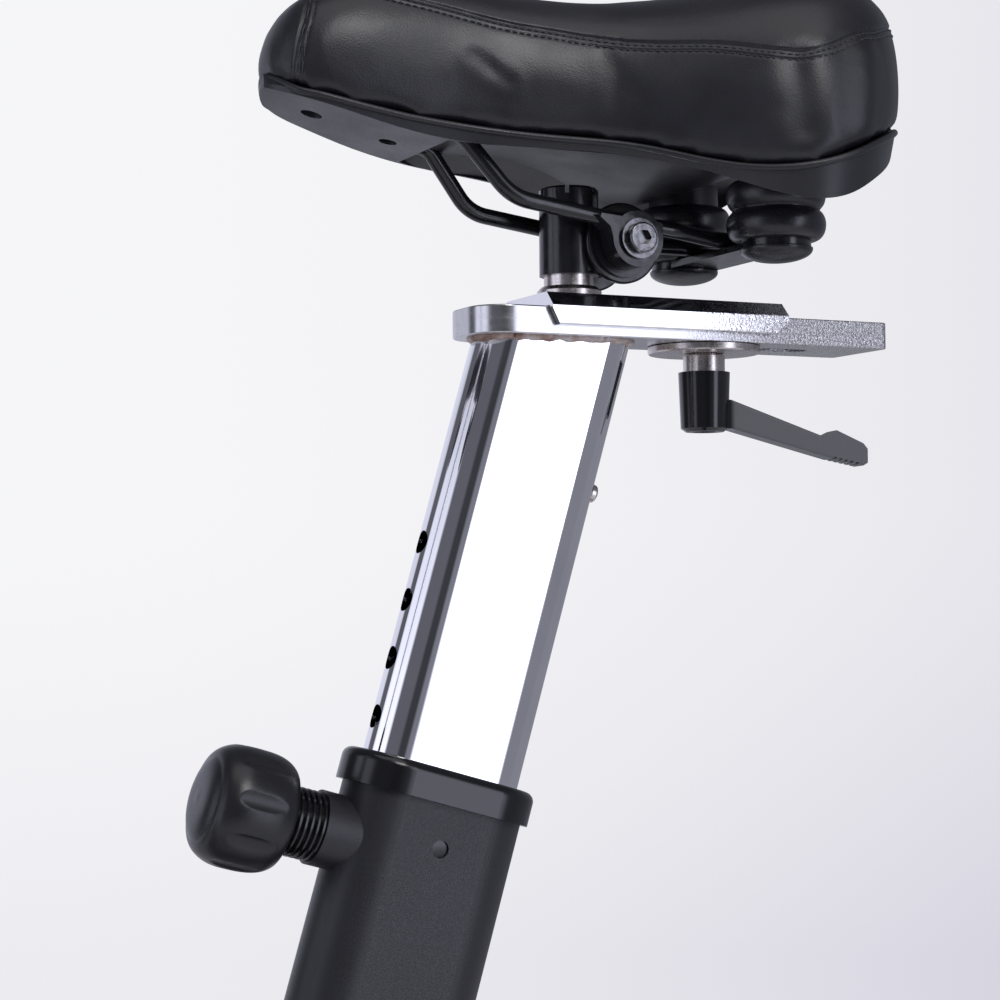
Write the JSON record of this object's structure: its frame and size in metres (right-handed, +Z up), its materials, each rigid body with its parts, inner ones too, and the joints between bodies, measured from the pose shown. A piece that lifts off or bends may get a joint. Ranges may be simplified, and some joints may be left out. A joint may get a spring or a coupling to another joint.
{
  "type": "indoor exercise bike",
  "caption": "Upright indoor cycle: front flywheel in a fork, belt-driven crank, and a fore-aft sliding padded saddle and bent handlebar on pinned, tilted flat-oval posts.",
  "frame": {"origin": "on the floor, midway between the flywheel's front and the rear stabilizer's back, on the bike's middle plane", "axes": "+Z up, -X towards the handlebar and flywheel, +X towards the saddle, +Y to the rider's right (drive side)"},
  "size_m": [0.9999, 0.5, 1.0929],
  "materials": {
    "frame_black": "fine-texture powder coat",
    "chrome_plate": "bright plated",
    "nickel_steel": "nickel plated",
    "weld_metal": "rough, heat-tinted",
    "bracket_black": "gloss",
    "flywheel_iron": "satin painted web, machined rim",
    "alloy_arm": "satin",
    "bushing_plastic": "semi-gloss",
    "cap_plastic": "fine texture",
    "knob_plastic": "soft satin",
    "lever_plastic": "satin",
    "guard_plastic": "leather-grain texture",
    "shell_plastic": "satin",
    "pedal_plastic": "textured",
    "elastomer": "satin",
    "foot_rubber": "matte",
    "belt_rubber": "matte",
    "grip_foam": "closed-cell foam",
    "brake_felt": "felt",
    "strap_web": "woven",
    "saddle_cover": "smooth soft sheen"
  },
  "bodies": {
    "frame": {"seat_tube": "frame_black", "seat_tube_bushing": "bushing_plastic", "seat_pin_socket": "frame_black", "seat_pin_housing": "bracket_black", "main_beam": "frame_black", "rear_beam": "frame_black", "head_tube": "frame_black", "head_tube_bushing": "bushing_plastic", "head_pin_housing": "bracket_black", "fork_legs": "frame_black", "bottom_bracket_shell": "frame_black", "shaft_bearings": "nickel_steel", "front_stabilizer": "frame_black", "rear_stabilizer": "frame_black", "stabilizer_end_caps": "cap_plastic", "drive_belt": "belt_rubber", "belt_guard_inner": "guard_plastic", "belt_guard_outer": "guard_plastic", "brake_guide": "nickel_steel"},
    "transport_wheel_left": {"transport_wheel_left": "cap_plastic"},
    "transport_wheel_right": {"transport_wheel_right": "cap_plastic"},
    "level_foot_left": {"level_foot_left": "foot_rubber"},
    "level_foot_right": {"level_foot_right": "foot_rubber"},
    "flywheel": {"flywheel_disc": "flywheel_iron", "flywheel_shaft": "nickel_steel"},
    "crank": {"crank_axle": "nickel_steel", "crank_pulley": "alloy_arm", "crank_arm_left": "alloy_arm", "crank_arm_right": "alloy_arm"},
    "pedal_left": {"pedal_left": "pedal_plastic", "toe_cage_left": "strap_web"},
    "pedal_right": {"pedal_right": "pedal_plastic", "toe_cage_right": "strap_web"},
    "brake": {"brake_rod": "nickel_steel", "brake_pad": "brake_felt"},
    "tension_knob": {"tension_knob": "knob_plastic"},
    "handlebar": {"handlebar_post": "chrome_plate", "handlebar": "frame_black", "handlebar_grips": "grip_foam"},
    "head_pin": {"head_pin_knob": "knob_plastic"},
    "seat_pin": {"seat_pin_knob": "knob_plastic", "seat_pin_plunger": "nickel_steel", "seat_pin_spring": "nickel_steel"},
    "seat_post": {"seat_post": "chrome_plate", "seat_post_weld": "weld_metal", "post_stop_screw": "nickel_steel", "slide_plate": "chrome_plate"},
    "slider": {"slider_channel": "chrome_plate", "saddle_stub": "nickel_steel", "clamp_washer": "nickel_steel"},
    "clamp_lever": {"clamp_lever": "lever_plastic", "lever_stud": "nickel_steel"},
    "saddle_clamp": {"clamp_bracket": "bracket_black"},
    "saddle_frame": {"clamp_ears": "bracket_black", "clamp_bolt": "bracket_black", "saddle_rails": "bracket_black", "elastomer_springs": "elastomer", "elastomer_caps": "elastomer"},
    "saddle": {"saddle_shell": "shell_plastic", "saddle_cushion": "saddle_cover"}
  },
  "joints": [
    {"name": "seat_post_slide", "type": "slide", "parent": "frame", "child": "seat_post", "axis": [0.2823, 0, 0.9593], "range_m": [-0.125, 0.1]},
    {"name": "seat_slide", "type": "slide", "parent": "seat_post", "child": "slider", "axis": [1, 0, 0], "range_m": [-0.009, 0.047]},
    {"name": "clamp_lever_turn", "type": "hinge", "parent": "slider", "child": "clamp_lever", "pos_m": [0.3657, 0, 0.79], "axis": [0, 0, 1], "range_deg": [-90, 90]},
    {"name": "saddle_swivel", "type": "hinge", "parent": "slider", "child": "saddle_clamp", "pos_m": [0.2987, 0, 0.83], "axis": [0, 0, 1], "range_deg": [-30, 30]},
    {"name": "saddle_tilt", "type": "hinge", "parent": "saddle_clamp", "child": "saddle_frame", "pos_m": [0.3169, 0, 0.8315], "axis": [0, 1, 0], "range_deg": [-15, 12]},
    {"name": "saddle_flex", "type": "hinge", "parent": "saddle_frame", "child": "saddle", "pos_m": [0.229, 0, 0.873], "axis": [0, 1, 0], "range_deg": [0, 2], "stiffness_Nm_per_rad": 2400, "deforming": ["elastomer_springs"]},
    {"name": "seat_pin_pull", "type": "slide", "parent": "frame", "child": "seat_pin", "axis": [-0.9593, 0, 0.2823], "range_m": [-0.006, 0.009], "stiffness_N_per_m": 900, "deforming": ["seat_pin_spring"]},
    {"name": "handlebar_post_slide", "type": "slide", "parent": "frame", "child": "handlebar", "axis": [0.1736, 0, 0.9848], "range_m": [-0.075, 0.075]},
    {"name": "head_pin_pull", "type": "slide", "parent": "frame", "child": "head_pin", "axis": [-0.9848, 0, 0.1736], "range_m": [-0.006, 0.009], "stiffness_N_per_m": 900},
    {"name": "flywheel_spin", "type": "hinge", "parent": "frame", "child": "flywheel", "pos_m": [-0.295, 0, 0.29], "axis": [0, 1, 0], "continuous": true},
    {"name": "crank_spin", "type": "hinge", "parent": "frame", "child": "crank", "pos_m": [0.1, 0, 0.3], "axis": [0, 1, 0], "continuous": true},
    {"name": "pedal_left_spin", "type": "hinge", "parent": "crank", "child": "pedal_left", "pos_m": [-0.03926, -0.16, 0.20249], "axis": [0, 1, 0], "continuous": true},
    {"name": "pedal_right_spin", "type": "hinge", "parent": "crank", "child": "pedal_right", "pos_m": [0.23926, 0.16, 0.39751], "axis": [0, 1, 0], "continuous": true},
    {"name": "brake_press", "type": "slide", "parent": "frame", "child": "brake", "axis": [-0.6738, 0, -0.739], "range_m": [0, 0.005]},
    {"name": "tension_knob_turn", "type": "hinge", "parent": "brake", "child": "tension_knob", "pos_m": [-0.0255, 0, 0.58558], "axis": [-0.6738, 0, -0.739], "range_deg": [0, 1440]},
    {"name": "transport_wheel_left_spin", "type": "hinge", "parent": "frame", "child": "transport_wheel_left", "pos_m": [-0.465, -0.15, 0.033], "axis": [0, 1, 0], "continuous": true},
    {"name": "transport_wheel_right_spin", "type": "hinge", "parent": "frame", "child": "transport_wheel_right", "pos_m": [-0.465, 0.15, 0.033], "axis": [0, 1, 0], "continuous": true},
    {"name": "level_foot_left_turn", "type": "hinge", "parent": "frame", "child": "level_foot_left", "pos_m": [0.457, -0.188, 0.02], "axis": [0, 0, 1], "continuous": true},
    {"name": "level_foot_right_turn", "type": "hinge", "parent": "frame", "child": "level_foot_right", "pos_m": [0.457, 0.188, 0.02], "axis": [0, 0, 1], "continuous": true}
  ],
  "couplings": [
    {"joint": "crank_spin", "follows": "flywheel_spin", "ratio": 0.33684},
    {"joint": "tension_knob_turn", "follows": "brake_press", "rad_per_m": 5026.5}
  ]
}
